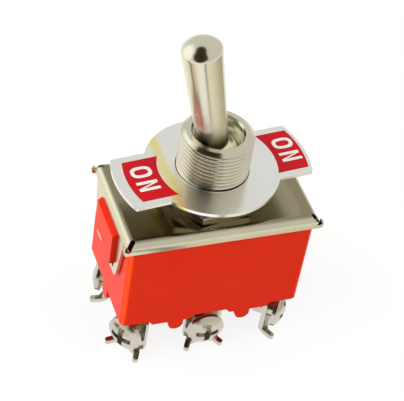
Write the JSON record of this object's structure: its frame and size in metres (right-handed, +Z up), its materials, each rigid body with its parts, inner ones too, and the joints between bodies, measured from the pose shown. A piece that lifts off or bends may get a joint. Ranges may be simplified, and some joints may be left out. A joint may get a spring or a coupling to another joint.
{
  "type": "toggle switch",
  "caption": "Panel-mount toggle switch with a bat lever, threaded bushing, keyed indicator plate, folded metal cover, moulded case and screw terminals.",
  "frame": {"origin": "on the bushing's axis at the top face of the indicator plate, where the free thread begins", "axes": "+Z up the bushing towards the lever's tip, +X along the case's length, -Y towards the front"},
  "size_m": [0.0346, 0.0224, 0.061],
  "materials": {
    "case_plastic": "moulded thermosetting plastic, red, semi-gloss",
    "cover_steel": "bright nickel plated sheet steel",
    "bushing_brass": "bright nickel plated turned brass",
    "lever_brass": "polished nickel plated turned brass",
    "nut_steel": "nickel plated steel",
    "washer_steel": "nickel plated spring steel",
    "plate_steel": "satin nickel plated sheet steel with two printed red fields",
    "shoe_plastic": "moulded nylon, natural",
    "plunger_brass": "turned brass",
    "spring_steel": "spring wire",
    "rocker_copper": "copper strip",
    "contact_silver": "silver alloy",
    "terminal_brass": "bright nickel plated brass strip",
    "screw_steel": "bright nickel plated steel"
  },
  "bodies": {
    "housing": {"case": "case_plastic", "cover": "cover_steel", "bushing": "bushing_brass", "lower_nut": "nut_steel", "upper_nut": "nut_steel", "lock_washer": "washer_steel", "indicator_plate": "plate_steel", "fixed_contact_rivets": "contact_silver", "common_terminal_front": "terminal_brass", "common_terminal_back": "terminal_brass", "throw_terminal_front_left": "terminal_brass", "throw_terminal_front_right": "terminal_brass", "throw_terminal_back_left": "terminal_brass", "throw_terminal_back_right": "terminal_brass", "terminal_screws": "screw_steel"},
    "lever": {"lever": "lever_brass", "lever_shoe": "shoe_plastic", "plunger_spring_front": "spring_steel", "plunger_spring_back": "spring_steel"},
    "rocker_front": {"rocker_contact_front": "rocker_copper", "rocker_rivets_front": "contact_silver"},
    "rocker_back": {"rocker_contact_back": "rocker_copper", "rocker_rivets_back": "contact_silver"},
    "plunger_front": {"plunger_front": "plunger_brass"},
    "plunger_back": {"plunger_back": "plunger_brass"}
  },
  "joints": [
    {"name": "lever_tilt", "type": "hinge", "parent": "housing", "child": "lever", "pos_m": [0, 0, 0.00235], "axis": [0, 1, 0], "range_deg": [0, 26]},
    {"name": "rocker_front_swing", "type": "hinge", "parent": "housing", "child": "rocker_front", "pos_m": [0, -0.0042, -0.02023], "axis": [0, 1, 0], "range_deg": [-18, 0]},
    {"name": "rocker_back_swing", "type": "hinge", "parent": "housing", "child": "rocker_back", "pos_m": [0, 0.0042, -0.02023], "axis": [0, 1, 0], "range_deg": [-18, 0]},
    {"name": "plunger_front_press", "type": "slide", "parent": "lever", "child": "plunger_front", "axis": [-0.225, 0, 0.9744], "range_m": [0, 0.0005], "stiffness_N_per_m": 200, "springref_m": -0.003, "deforming": ["plunger_spring_front"]},
    {"name": "plunger_back_press", "type": "slide", "parent": "lever", "child": "plunger_back", "axis": [-0.225, 0, 0.9744], "range_m": [0, 0.0005], "stiffness_N_per_m": 200, "springref_m": -0.003, "deforming": ["plunger_spring_back"]}
  ],
  "couplings": [
    {"joint": "rocker_front_swing", "follows": "lever_tilt", "ratio": -0.69231},
    {"joint": "rocker_back_swing", "follows": "lever_tilt", "ratio": -0.69231}
  ]
}
